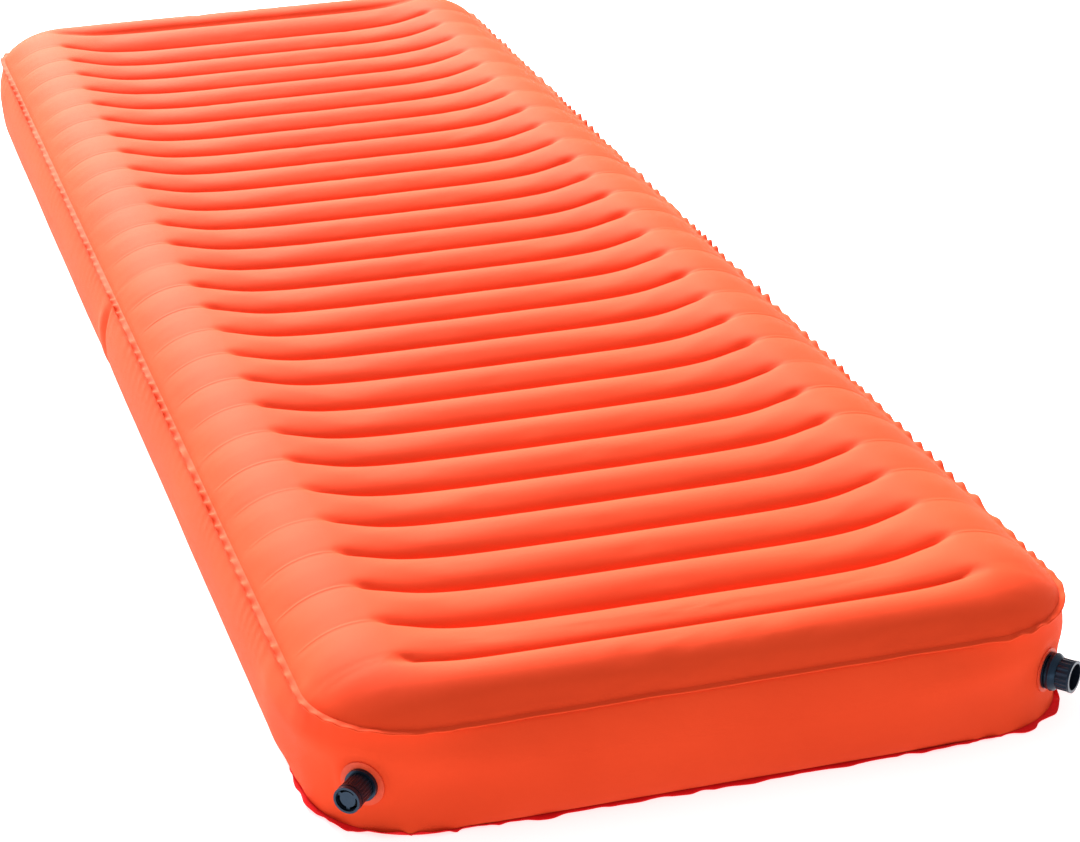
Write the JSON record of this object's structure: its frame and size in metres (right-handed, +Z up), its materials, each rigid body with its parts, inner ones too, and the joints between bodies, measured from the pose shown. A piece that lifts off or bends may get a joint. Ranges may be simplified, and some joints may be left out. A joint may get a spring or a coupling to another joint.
{
  "type": "inflatable sleeping pad",
  "caption": "Inflatable box-wall sleeping pad with cross channels, a bulging side wall and two twist valves at one end.",
  "frame": {"origin": "centre of the pad's flat underside, midway between the seams", "axes": "+Y along the pad, away from the end with the valves; +X across it; +Z up"},
  "size_m": [0.648, 1.93, 0.118],
  "materials": {
    "pad_fabric": "matte coated woven fabric, orange",
    "base_fabric": "matte coated woven fabric, red",
    "baffle_fabric": "plain coated fabric, pale",
    "valve_flange": "moulded flexible plastic, orange",
    "valve_body": "moulded plastic, satin black",
    "valve_cap": "moulded plastic, satin black",
    "valve_seat": "moulded plastic, dark grey",
    "seal_rubber": "soft black rubber",
    "flap_rubber": "soft grey rubber"
  },
  "bodies": {
    "pad": {"top_sheet": "pad_fabric", "side_wall": "pad_fabric", "bottom_sheet": "base_fabric", "deflate_flange": "valve_flange", "inflate_flange": "valve_flange", "deflate_stem": "valve_body", "inflate_base": "valve_body", "inflate_collar": "valve_body", "inflate_seat": "valve_seat", "deflate_o_ring": "seal_rubber", "inflate_o_ring": "seal_rubber", "baffle_01": "baffle_fabric", "baffle_02": "baffle_fabric", "baffle_03": "baffle_fabric", "baffle_04": "baffle_fabric", "baffle_05": "baffle_fabric", "baffle_06": "baffle_fabric", "baffle_07": "baffle_fabric", "baffle_08": "baffle_fabric", "baffle_09": "baffle_fabric", "baffle_10": "baffle_fabric", "baffle_11": "baffle_fabric", "baffle_12": "baffle_fabric", "baffle_13": "baffle_fabric", "baffle_14": "baffle_fabric", "baffle_15": "baffle_fabric", "baffle_16": "baffle_fabric", "baffle_17": "baffle_fabric", "baffle_18": "baffle_fabric", "baffle_19": "baffle_fabric", "baffle_20": "baffle_fabric", "baffle_21": "baffle_fabric", "baffle_22": "baffle_fabric", "baffle_23": "baffle_fabric", "baffle_24": "baffle_fabric", "baffle_25": "baffle_fabric", "baffle_26": "baffle_fabric", "baffle_27": "baffle_fabric", "baffle_28": "baffle_fabric", "baffle_29": "baffle_fabric"},
    "deflate_plug": {"deflate_seal": "seal_rubber"},
    "deflate_knob": {"deflate_cap": "valve_cap"},
    "inflate_plug": {"inflate_seal": "seal_rubber"},
    "inflate_knob": {"inflate_cap": "valve_cap"},
    "check_flap": {"inflate_flap": "flap_rubber"}
  },
  "joints": [
    {"name": "deflate_lift", "type": "slide", "parent": "pad", "child": "deflate_plug", "axis": [-0.6428, -0.766, 0], "range_m": [0, 0.003]},
    {"name": "deflate_twist", "type": "hinge", "parent": "deflate_plug", "child": "deflate_knob", "pos_m": [-0.28756, -0.94114, 0.042], "axis": [-0.6428, -0.766, 0], "range_deg": [0, 360]},
    {"name": "inflate_lift", "type": "slide", "parent": "pad", "child": "inflate_plug", "axis": [0.6428, -0.766, 0], "range_m": [0, 0.0025]},
    {"name": "inflate_twist", "type": "hinge", "parent": "inflate_plug", "child": "inflate_knob", "pos_m": [0.28756, -0.94114, 0.042], "axis": [0.6428, -0.766, 0], "range_deg": [0, 360]},
    {"name": "flap_open", "type": "slide", "parent": "pad", "child": "check_flap", "axis": [-0.6428, 0.766, 0], "range_m": [0, 0.0012], "stiffness_N_per_m": 20}
  ],
  "couplings": [
    {"joint": "deflate_lift", "follows": "deflate_twist", "m_per_rad": 0.000477},
    {"joint": "inflate_lift", "follows": "inflate_twist", "m_per_rad": 0.000397}
  ]
}
